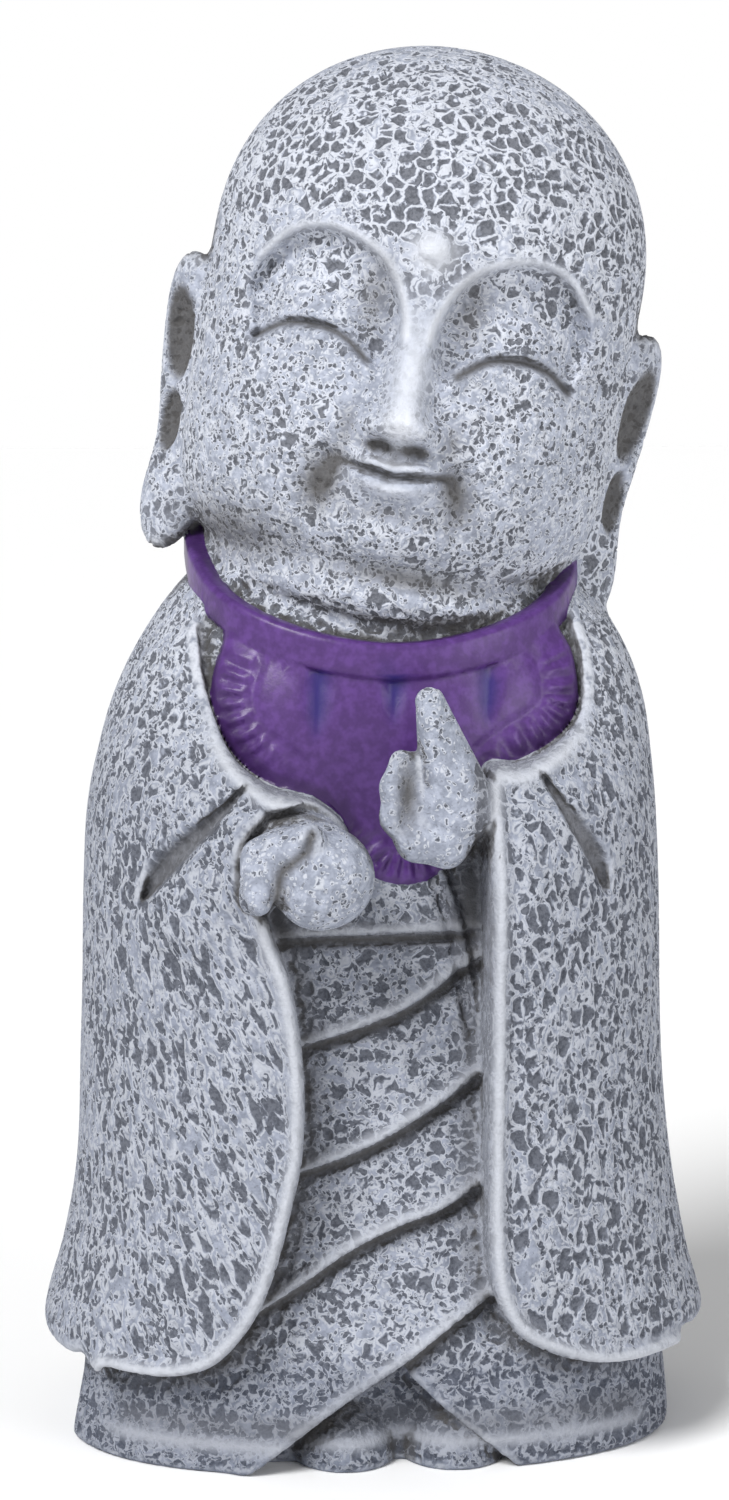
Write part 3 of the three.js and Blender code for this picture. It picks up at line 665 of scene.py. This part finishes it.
class Nodes:
    """Short calls for making nodes; positions are in millimetres."""

    def __init__(self, tree):
        self.tree = tree

    def new(self, kind, **settings):
        node = self.tree.nodes.new(kind)
        for key, value in settings.items():
            setattr(node, key, value)
        return node

    def plug(self, node, values):
        for key, value in values.items():
            if isinstance(value, bpy.types.NodeSocket):
                self.tree.links.new(value, node.inputs[key])
            else:
                node.inputs[key].default_value = value
        return node

    def math(self, operation, a, b=0.0, clamp=False):
        node = self.new("ShaderNodeMath", operation=operation, use_clamp=clamp)
        return self.plug(node, {0: a, 1: b}).outputs[0]

    def vector(self, operation, a, b):
        node = self.new("ShaderNodeVectorMath", operation=operation)
        return self.plug(node, {0: a, 1: b}).outputs[0]

    def scaled(self, vector, amount):
        node = self.new("ShaderNodeVectorMath", operation="SCALE")
        return self.plug(node, {0: vector, "Scale": amount}).outputs[0]

    def noise(self, place, scale, detail=2.0, rough=0.5):
        node = self.new("ShaderNodeTexNoise", noise_dimensions="3D")
        return self.plug(node, {"Vector": place, "Scale": scale, "Detail": detail, "Roughness": rough})

    def cells(self, place, scale, feature="F1", metric="EUCLIDEAN", randomness=1.0):
        node = self.new("ShaderNodeTexVoronoi", voronoi_dimensions="3D", feature=feature)
        if feature != "DISTANCE_TO_EDGE":
            node.distance = metric
        return self.plug(node, {"Vector": place, "Scale": scale, "Randomness": randomness})

    def cell_draw(self, cells):
        """A number from 0 to 1 that is one cell's own."""
        parts = self.new("ShaderNodeSeparateXYZ")
        return self.plug(parts, {"Vector": cells.outputs["Color"]}).outputs[0]

    def ramp(self, value, low, high, to_low=0.0, to_high=1.0):
        node = self.new("ShaderNodeMapRange", interpolation_type="SMOOTHSTEP")
        self.plug(node, {"Value": value, "From Min": low, "From Max": high, "To Min": to_low, "To Max": to_high})
        return node.outputs["Result"]


def shifted(n, place, scale, amount, detail=1.0):
    """A place moved about by noise."""
    drift = n.vector("SUBTRACT", n.noise(place, scale, detail).outputs["Color"], (0.5, 0.5, 0.5))
    return n.vector("ADD", place, n.scaled(drift, amount))


PATTERN_FACTS = ("strokes", "slope", "bold", "crowd")


def pit_depth(n, place, strokes, slope, bold, crowd):
    """Positive inside a chip and negative outside it, in shares of a chip's cell. strokes from 0 to 1
    stretches the chips downhill, and slope is how far that way leans to +X. bold gives more large chips
    and fewer small ones, and crowd gives more of both."""
    downhill = n.new("ShaderNodeCombineXYZ")
    downhill = n.plug(downhill, {"X": slope, "Y": 0.2, "Z": -0.87}).outputs[0]
    middle = n.new("ShaderNodeVectorMath", operation="SUBTRACT")
    middle.inputs[1].default_value = (0, 0, 0.3 * HEIGHT)
    along = n.new("ShaderNodeVectorMath", operation="DOT_PRODUCT")
    along = n.plug(along, {0: n.plug(middle, {0: place}).outputs[0], 1: downhill}).outputs["Value"]
    pull = n.math("MULTIPLY", n.math("MULTIPLY", along, -0.64), strokes)
    place = n.vector("ADD", place, n.scaled(downhill, pull))
    place = shifted(n, place, 0.26, 3.6)
    patches = n.noise(place, 0.07, 1.0).outputs[0]
    more = n.math("ADD", n.math("MULTIPLY", n.math("SUBTRACT", patches, 0.5), 0.5), crowd)
    place = shifted(n, place, 1.1, 0.6, 0.0)

    edge = n.cells(place, 0.26, "DISTANCE_TO_EDGE").outputs["Distance"]
    needed = n.math("MULTIPLY", n.cell_draw(n.cells(place, 0.26)), 0.55)
    large = n.math("ADD", n.math("SUBTRACT", edge, needed), n.math("MULTIPLY", bold, 0.28))
    large = n.math("MINIMUM", n.math("ADD", large, more), n.math("SUBTRACT", edge, 0.09))
    small_cells = n.cells(place, 0.62)
    reach = n.math("SUBTRACT", 0.56, n.math("MULTIPLY", n.cell_draw(small_cells), 0.55))
    small = n.math("SUBTRACT", reach, small_cells.outputs["Distance"])
    small = n.math("SUBTRACT", n.math("ADD", small, more), n.math("MULTIPLY", bold, 0.12))
    return n.math("MAXIMUM", large, small)


def pit_geometry(mesh_object):
    """Geometry nodes that press the pits into the mesh along its normals."""
    tree = bpy.data.node_groups.new("hammered pits", "GeometryNodeTree")
    tree.interface.new_socket("Geometry", in_out="INPUT", socket_type="NodeSocketGeometry")
    tree.interface.new_socket("Geometry", in_out="OUTPUT", socket_type="NodeSocketGeometry")
    n = Nodes(tree)
    source, result = n.new("NodeGroupInput"), n.new("NodeGroupOutput")
    where = n.new("ShaderNodeVectorMath", operation="SCALE")
    n.plug(where, {0: n.new("GeometryNodeInputPosition").outputs[0], "Scale": 1000.0})
    read = {}
    for name in ("rough", *PATTERN_FACTS):
        read[name] = n.new("GeometryNodeInputNamedAttribute", data_type="FLOAT")
        read[name].inputs["Name"].default_value = name
    depth = pit_depth(n, where.outputs[0], *(read[name].outputs[0] for name in PATTERN_FACTS))
    pressed = n.math("MULTIPLY", n.ramp(depth, 0.0, 0.16), read["rough"].outputs[0])
    offset = n.new("ShaderNodeVectorMath", operation="SCALE")
    n.plug(offset, {0: n.new("GeometryNodeInputNormal").outputs[0],
                    "Scale": n.math("MULTIPLY", pressed, -PIT_DEPTH / 1000)})
    move = n.new("GeometryNodeSetPosition")
    n.plug(move, {"Geometry": source.outputs[0], "Offset": offset.outputs[0]})
    n.tree.links.new(move.outputs[0], result.inputs[0])
    modifier = mesh_object.modifiers.new("pits", "NODES")
    modifier.node_group = tree


def head_facts(points, edge):
    """Where the head is plain, where dry-brushed paint and painted highlights make it pale, and where dark wash and
    painted shade go.
    """
    u, v, w = to_head(points[:, 0], points[:, 1], points[:, 2])
    on_head = step(-96, -84, v) * step(-72, -68, -np.abs(u)) * (points[:, 2] > 225)
    v = v + FACE_DROP
    face = on_head * step(20, 34, w) * step(14, 2, v)
    a = np.abs(u)
    brow_gap, _ = line_distance(smooth_line(BROW, 4), a, v)
    eye_gap, _ = line_distance(smooth_line(EYE_LINE, 4), a, v)
    plain = bump(u, v, 0, -28, 6, 19) + bump(u, v, 0, -56, 12, 5) + bump(u, v, 0, 5, 4.6, 4.6)
    plain = plain + 0.9 * np.exp(-((brow_gap / 1.5) ** 2)) + 0.9 * np.exp(-((eye_gap / 1.8) ** 2))
    # Dark wash and painted shade in the eye lines, the mouth line, the nostrils, under the nose, the mouth corners
    # and the inner socket corners.
    wash_and_painted_shade = np.exp(-((eye_gap / np.where(u > 0, 1.25, 0.9)) ** 2)) + np.exp(-(((v - mouth_height(u)) / 0.85) ** 2)) * step(16, 14, a)
    wash_and_painted_shade = wash_and_painted_shade + 2.0 * bump(a, v, 4.9, -48.0, 2.9, 1.5) + 0.5 * bump(u, v, 0, -48.6, 9, 1.3)
    wash_and_painted_shade = wash_and_painted_shade + 0.9 * bump(a, v, 15.5, -54.5, 2.6, 3.2)
    wash_and_painted_shade = wash_and_painted_shade + 0.8 * bump(u, v, -18, -60, 4.5, 6) + 0.5 * bump(u, v, 18, -58, 3.5, 5)
    wash_and_painted_shade = wash_and_painted_shade + 0.62 * bump(a, v, 12.5, -10, 5, 10)
    # Painted shade under the jaw.
    under_jaw = 0.85 * bump(u, v, 9, -81.5, 19, 3.2) + 0.75 * bump(u, v, -40, -78, 17, 8)
    wash_and_painted_shade = wash_and_painted_shade + 0.6 * bump(a, v, 14, -44, 2.4, 5) + 0.6 * bump(u, v, 0, -50.8, 1.6, 1.4)
    wash_and_painted_shade = wash_and_painted_shade + 0.5 * bump(a, v, 19, -61, 5, 7) + 0.45 * bump(u, v, 0, -65.5, 12, 2.2)
    # Dry-brushed paint and painted highlights on the urna, the nose, the brow ridges and the lips.
    pale = 1.6 * bump(u, v, 0, URNA["v"], 4.8, 4.8) + 0.7 * bump(u, v, 0, -30, 4.2, 16)
    pale = pale + 0.6 * bump(u, v, 0, -42, 5, 4)
    pale = pale + 0.8 * np.exp(-((brow_gap / 1.1) ** 2)) + 0.6 * bump(u, v, 0, -52.4, 9, 1.2) + 0.5 * bump(u, v, 0, -58.4, 8, 1.3)
    # Dark wash and painted shade in the ear hollows.
    for side in (-1, 1):
        h, along, out = in_ear(u, v - FACE_DROP, w, side)
        for h0, tall, wide, _ in EAR_HOLLOWS:
            inside = np.sqrt(((h - h0) / tall) ** 2 + ((along + 1.8) / wide) ** 2)
            ear_wash_and_shade = step(1.0, 0.75, inside) * (np.abs(out) < 12) * (side * u > 52) * (out < 5.2)
            face = np.maximum(face, ear_wash_and_shade > 0)
            wash_and_painted_shade = np.where(ear_wash_and_shade > 0, ear_wash_and_shade, wash_and_painted_shade)
    crown = on_head * step(2, 16, v) * step(75, 40, v + 0.4 * np.abs(u))
    cheeks = face * step(-2, -16, v)
    # The outer socket walls, where the painted shade from recesses is made weaker.
    temples = on_head * bump(a, v, 43.5, -12, 6, 14)
    plain, wash_and_painted_shade, pale = [np.clip(fact, 0, 1) * face for fact in (plain, wash_and_painted_shade, pale)]
    wash_and_painted_shade = np.maximum(wash_and_painted_shade, np.clip(under_jaw, 0, 1) * on_head * step(2, 14, w))
    return on_head, (plain, wash_and_painted_shade, pale), crown, cheeks, temples


def robe_facts(x, y, z):
    """Where the robe's edges get dry-brushed paint and painted highlights, and where dark wash and painted shade
    go.
    """
    front = step(-34, -44, y) * step(205, 192, z)
    edge = opening_edge(x, z)
    pale = 0.9 * np.exp(-(((edge - 2.2) / 1.9) ** 2))
    wash_and_painted_shade = np.zeros(x.shape)
    # Painted highlights on the laps' upper edges, and painted shade under them.
    on_gown = step(2, -2, edge) * front
    for above in heights_above_laps(x, z):
        near = on_gown * (above < 60)
        pale = pale * (1 - near) + near * np.maximum(pale, 0.7 * np.exp(-(((above - 1.9) / 1.5) ** 2)))
        wash_and_painted_shade = np.maximum(wash_and_painted_shade, near * np.exp(-(((above + 1.6) / 1.7) ** 2)))
    # Painted shade in the forearm creases.
    for fold in crease_map(x, z):
        wash_and_painted_shade = np.maximum(wash_and_painted_shade, 0.75 * step(0.15, 0.7, fold) * (edge > 0))
    # Painted shade along the sleeves' inner edges and under the fist and the raised hand.
    inner = on_gown * step(-9, -3, edge)
    under_fist = inner * (x < 0) * bump(x, z, -28, 148, 14, 12)
    under_hand = on_gown * bump(x, z, 22, 152, 7, 15)
    wash_and_painted_shade = np.maximum(wash_and_painted_shade, 0.35 * inner)
    wash_and_painted_shade = np.maximum(wash_and_painted_shade, 0.9 * np.maximum(under_fist, under_hand))
    return pale * front, wash_and_painted_shade * front


def describe(points, normals, stone, painted):
    """What the pits and the paint need to know at each vertex."""
    x, y, z = points.T
    nearest = np.minimum(stone, painted)
    paint = np.clip(sample(stone, points) - sample(painted, points), -3, 3)
    # How closed-in each vertex is, near and farther out, for the dark wash and painted shade; and how sharp an edge
    # it sits on, for dry-brushed paint and painted highlights.
    recess = 1 - np.clip(sample(nearest, points + 5 * normals) / 5, 0, 1)
    shade = 1 - np.clip(sample(nearest, points + 12 * normals) / 12, 0, 1)
    edge = np.clip(1 + sample(nearest, points - 2 * normals) / 2, 0, 1)
    on_head, (plain, wash_and_painted_shade, pale), crown, cheeks, temples = head_facts(points, edge)
    # Less painted shade on the outer socket walls.
    recess, shade = recess * (1 - 0.7 * temples), shade * (1 - 0.7 * temples)
    robe_pale, robe_wash_and_shade = robe_facts(x, y, z)
    on_hands = (np.hypot((x + 23) / 19, (z - 166) / 16.5) < 1) & (y < -69)
    on_hands |= (np.hypot(x - 5, z - 188) < 24) & (y < -71) & (x < 19)
    robe_pale, robe_wash_and_shade = robe_pale * ~on_hands, robe_wash_and_shade * ~on_hands
    # Dark wash and painted shade in the palm's hollow and the fist's folds.
    in_palm = (x > -5) * bump(x, z, 1.6, 185.5, 3.0, 9)
    for start, end, _, _ in FIST_FOLDS:
        line = np.array([(start[0], start[2]), (end[0], end[2])], float)
        in_palm = np.maximum(in_palm, np.exp(-((line_distance(line, x, z)[0] / 1.5) ** 2)))
    in_palm = in_palm * on_hands
    pale, wash_and_painted_shade = np.maximum(pale, robe_pale), np.maximum(wash_and_painted_shade, np.maximum(robe_wash_and_shade, in_palm))
    rim = np.maximum(step(0.12, 0.4, edge) * (1 - 0.7 * on_head), robe_pale)
    body = (1 - on_head) * ~on_hands
    on_mantle = ((opening_edge(x, z) > 0) | (y > -22)) & (z > 20) & (on_head < 0.5) & ~on_hands
    across = np.clip(np.where(y < 0, x / 20, x / 75), -1, 1)
    below_hem = step(36, 24, z) * ~on_mantle
    # Darker towards the bottom of the body, most on the base below the hem, a little on the hands, least on the
    # head.
    darkening = np.where(on_head > 0.5, 0.05, 0.15) + 0.42 * step(232, 170, z) * body + 0.12 * on_hands
    return dict(
        paint=paint,
        recess=recess,
        shade=shade,
        edge=edge * (1 - 0.6 * on_head),
        rough=(1 - plain) * (1 - 0.85 * rim) * (1 - 0.8 * robe_wash_and_shade) * step(0.4, -0.4, paint) * step(0.4, 1.2, z),
        strokes=on_mantle * (0.8 - 0.2 * across),
        slope=0.28 - 0.22 * across,
        bold=crown - 0.6 * cheeks - 0.8 * on_hands - 0.3 * body + 0.4 * body * step(-1, 1, across),
        crowd=0.3 * step(0.3, 0.9, recess) * (1 - 0.8 * on_head) + 0.07 * body + 0.05 * below_hem - 0.22 * on_hands,
        darkening=darkening + 0.45 * below_hem,
        wash_and_painted_shade=wash_and_painted_shade,
        pale=pale,
        blue=pleat_map(x, z) * step(-40, -50, y) * step(-0.2, 0.2, paint) * step(215.5, 213.5, z),
    )


# Materials

# Linear colours
STONE = (0.395, 0.425, 0.51, 1)
STONE_DULL = (0.25, 0.272, 0.33, 1)
STONE_DARK = (0.145, 0.152, 0.175, 1)
# Pale dry-brushed paint, also used for painted highlights.
BRUSHED_AND_HIGHLIGHT = (0.67, 0.69, 0.74, 1)
PIT = (0.07, 0.074, 0.087, 1)
# Blue-black that the stone is darkened towards, lower down.
BLUE_BLACK = (0.015, 0.024, 0.05, 1)
# Dark wash and painted shade.
DARK_WASH_AND_SHADE = (0.07, 0.067, 0.066, 1)
PURPLE = (0.09, 0.036, 0.185, 1)
PURPLE_DARK = (0.06, 0.022, 0.125, 1)
# Purple for painted shade in the bib's recesses.
PURPLE_SHADED = (0.035, 0.014, 0.07, 1)
PLEAT_BLUE = (0.018, 0.012, 0.12, 1)


def statue_material():
    material = bpy.data.materials.new("cast stone and bib paint")
    material.use_nodes = True
    tree = material.node_tree
    tree.nodes.clear()
    n = Nodes(tree)

    def attribute(name):
        return n.new("ShaderNodeAttribute", attribute_name=name).outputs["Fac"]

    def mix(share, a, b):
        node = n.new("ShaderNodeMix", data_type="RGBA")
        n.plug(node, {0: share, 6: a, 7: b})
        return node.outputs[2]

    place = n.scaled(n.new("ShaderNodeTexCoord").outputs["Object"], 1000.0)
    paint, recess, edge, rough = attribute("paint"), attribute("recess"), attribute("edge"), attribute("rough")
    depth = pit_depth(n, place, *(attribute(name) for name in PATTERN_FACTS))
    deep = n.math("MULTIPLY", n.ramp(depth, -0.03, 0.06), rough)
    rim = n.math("MULTIPLY", n.math("MULTIPLY", n.ramp(depth, -0.26, -0.08), n.ramp(depth, 0.02, -0.05)), rough)
    mottle = n.noise(place, 0.3, 2.0, 0.7).outputs[0]
    fine = n.noise(place, 0.95, 2.0, 0.6).outputs[0]
    specks = n.math("MULTIPLY", n.ramp(fine, 0.61, 0.68), rough)

    stone = mix(n.ramp(mottle, 0.33, 0.66), STONE_DULL, STONE)
    stone = mix(n.math("MULTIPLY", rim, 0.6), stone, BRUSHED_AND_HIGHLIGHT)
    stone = mix(n.math("MULTIPLY", specks, 0.6), stone, STONE_DARK)
    stone = mix(n.math("MULTIPLY", deep, 0.92), stone, mix(n.ramp(fine, 0.35, 0.62), PIT, STONE_DARK))
    # Dry-brushed paint and painted highlights on sharp edges.
    worn_and_highlit = n.math("MULTIPLY", n.ramp(edge, 0.2, 0.5), n.ramp(mottle, 0.25, 0.55))
    stone = mix(n.math("MULTIPLY", worn_and_highlit, 0.64), stone, BRUSHED_AND_HIGHLIGHT)
    # Dry-brushed paint and painted highlights where the pale attribute puts them.
    stone = mix(n.math("MULTIPLY", attribute("pale"), 0.85), stone, BRUSHED_AND_HIGHLIGHT)
    # Darkens the stone towards the bottom, most on the base, and a little on the hands.
    stone = mix(attribute("darkening"), stone, mix(0.45, BLUE_BLACK, stone))
    # Dark wash and painted shade: in recesses, in larger hollows, and where the wash attribute puts it.
    wash_and_shade = n.math("MULTIPLY", n.ramp(recess, 0.3, 0.85), n.ramp(mottle, 0.72, 0.35, 0.6, 1.0))
    wash_and_shade = n.math("MAXIMUM", wash_and_shade, n.math("MULTIPLY", n.ramp(attribute("shade"), 0.55, 0.95), 0.55))
    wash_and_shade = n.math("MAXIMUM", wash_and_shade, attribute("wash_and_painted_shade"))
    stone = mix(n.math("MULTIPLY", wash_and_shade, 0.93), stone, DARK_WASH_AND_SHADE)

    cloth = mix(n.ramp(mottle, 0.35, 0.7), PURPLE_DARK, PURPLE)
    # Painted shade on the bib in its recesses.
    cloth = mix(n.math("MULTIPLY", n.ramp(recess, 0.15, 0.55), 0.7), cloth, PURPLE_SHADED)
    cloth = mix(n.math("MULTIPLY", attribute("blue"), 0.92), cloth, PLEAT_BLUE)
    on_bib = n.ramp(paint, -0.12, 0.12)
    colour = mix(on_bib, stone, cloth)

    height = n.math("MULTIPLY", n.noise(place, 1.1, 1.0, 0.65).outputs[0], n.math("SUBTRACT", 0.34, n.math("MULTIPLY", on_bib, 0.3)))
    relief = n.new("ShaderNodeBump")
    n.plug(relief, {"Height": height, "Distance": 0.001, "Strength": 1.0})

    shader = n.new("ShaderNodeBsdfPrincipled")
    rough_mix = n.new("ShaderNodeMix", data_type="FLOAT")
    n.plug(rough_mix, {0: on_bib, 2: 0.88, 3: 0.36})
    n.plug(shader, {"Base Color": colour, "Roughness": rough_mix.outputs[0], "Normal": relief.outputs[0]})
    shader.inputs["Specular IOR Level"].default_value = 0.35
    out = n.new("ShaderNodeOutputMaterial")
    tree.links.new(shader.outputs[0], out.inputs[0])
    return material


def plain_material(name, colour, roughness):
    material = bpy.data.materials.new(name)
    material.use_nodes = True
    shader = material.node_tree.nodes["Principled BSDF"]
    shader.inputs["Base Color"].default_value = (*colour, 1)
    shader.inputs["Roughness"].default_value = roughness
    return material


# The statue

def pressed_and_thinned(points, quads, stone, painted):
    """The carving as a mesh with its pits, thinned to its share of triangles."""
    mesh = make_mesh("carving", points, quads)
    for name, values in describe(*read_points(mesh), stone, painted).items():
        if name in ("rough", *PATTERN_FACTS):
            store(mesh, name, values)
    draft = bpy.data.objects.new("carving", mesh)
    bpy.context.collection.objects.link(draft)
    pit_geometry(draft)
    thin = draft.modifiers.new("thin", "DECIMATE")
    thin.ratio = min(1.0, ALL_TRIANGLES / (2 * len(quads)))
    final = bpy.data.meshes.new_from_object(draft.evaluated_get(bpy.context.evaluated_depsgraph_get()))
    bpy.data.objects.remove(draft)
    return final


def make_statue():
    """One surface, handed out to the parts of the figure that it belongs to, which meet exactly."""
    stone, painted, label = carve()
    points, quads = mesh_from(np.minimum(stone, painted))
    whole = pressed_and_thinned(points, quads, stone, painted)
    whole.calc_loop_triangles()
    corners = np.empty(len(whole.loop_triangles) * 3, np.int32)
    whole.loop_triangles.foreach_get("vertices", corners)
    corners = corners.reshape(-1, 3)
    points, normals = read_points(whole)
    facts = describe(points, normals, stone, painted)
    middle = points[corners].mean(1)
    cell = [np.rint((middle[:, n] - line[0]) / CELL).astype(int) for n, line in enumerate((XS, YS, ZS))]
    owner = label[tuple(cell)]
    material = statue_material()
    for number, name in enumerate(PARTS):
        used, local = np.unique(corners[owner == number], return_inverse=True)
        local = local.reshape(-1, 3)
        mesh = make_mesh("jizo_" + name, points[used], local)
        for key, values in facts.items():
            store(mesh, key, values[used])
        mesh.polygons.foreach_set("use_smooth", np.ones(len(local), dtype=bool))
        mesh.normals_split_custom_set_from_vertices(normals[used])
        mesh.materials.append(material)
        piece = bpy.data.objects.new("jizo_" + name, mesh)
        bpy.context.collection.objects.link(piece)
        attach(piece, "root")
        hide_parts("jizo_statue")
        print("triangles of", name, len(local))


make_statue()


# Floor, lights and camera

def make_floor():
    size = 6.0
    mesh = bpy.data.meshes.new("floor")
    corners = [(-size, -size, 0), (size, -size, 0), (size, size, 0), (-size, size, 0)]
    mesh.from_pydata(corners, [], [(0, 1, 2, 3)])
    mesh.materials.append(plain_material("pale floor", (0.98, 0.98, 0.98), 0.8))
    floor = bpy.data.objects.new("floor", mesh)
    bpy.context.collection.objects.link(floor)


def make_light(name, place, aim, power, size):
    """An area light of a size in metres, or without a size the sun as a far softbox."""
    data = bpy.data.lights.new(name, "AREA" if size else "SUN")
    data.energy = power
    if size:
        data.size = size
    else:
        data.angle = math.radians(25)
    light = bpy.data.objects.new(name, data)
    bpy.context.collection.objects.link(light)
    light.location = place
    ray = np.array(aim) - np.array(place)
    flat = math.hypot(ray[0], ray[1])
    light.rotation_euler = (math.atan2(flat, -ray[2]), 0, math.atan2(-ray[0], ray[1]))


def make_world():
    """A dim even sky with a bright band round the horizon, which the pale floor runs out into."""
    world = bpy.data.worlds.new("studio")
    bpy.context.scene.world = world
    world.use_nodes = True
    n = Nodes(world.node_tree)
    background = world.node_tree.nodes["Background"]
    height = n.new("ShaderNodeSeparateXYZ")
    n.plug(height, {"Vector": n.new("ShaderNodeTexCoord").outputs["Generated"]})
    level = n.math("ABSOLUTE", height.outputs["Z"])
    n.plug(background, {"Strength": n.ramp(level, 0.16, 0.4, 1.0, 0.32)})
    background.inputs["Color"].default_value = (1, 1, 1, 1)


make_floor()
make_world()
make_light("key", (-0.75, -0.95, 1.35), (0, 0, 0.2), 3.1, None)
make_light("fill", (1.1, -1.3, 0.5), (0, 0, 0.2), 8, 0.9)

camera_data = bpy.data.cameras.new("camera")
camera_data.sensor_width = 36
camera_data.lens = 96
camera = bpy.data.objects.new("camera", camera_data)
bpy.context.collection.objects.link(camera)
camera.location = (-0.0959, -1.0958, 0.320)
camera.rotation_euler = (math.radians(90 - 6.9), 0, math.radians(-4.87))
bpy.context.scene.camera = camera
bpy.context.scene.view_settings.view_transform = "Standard"
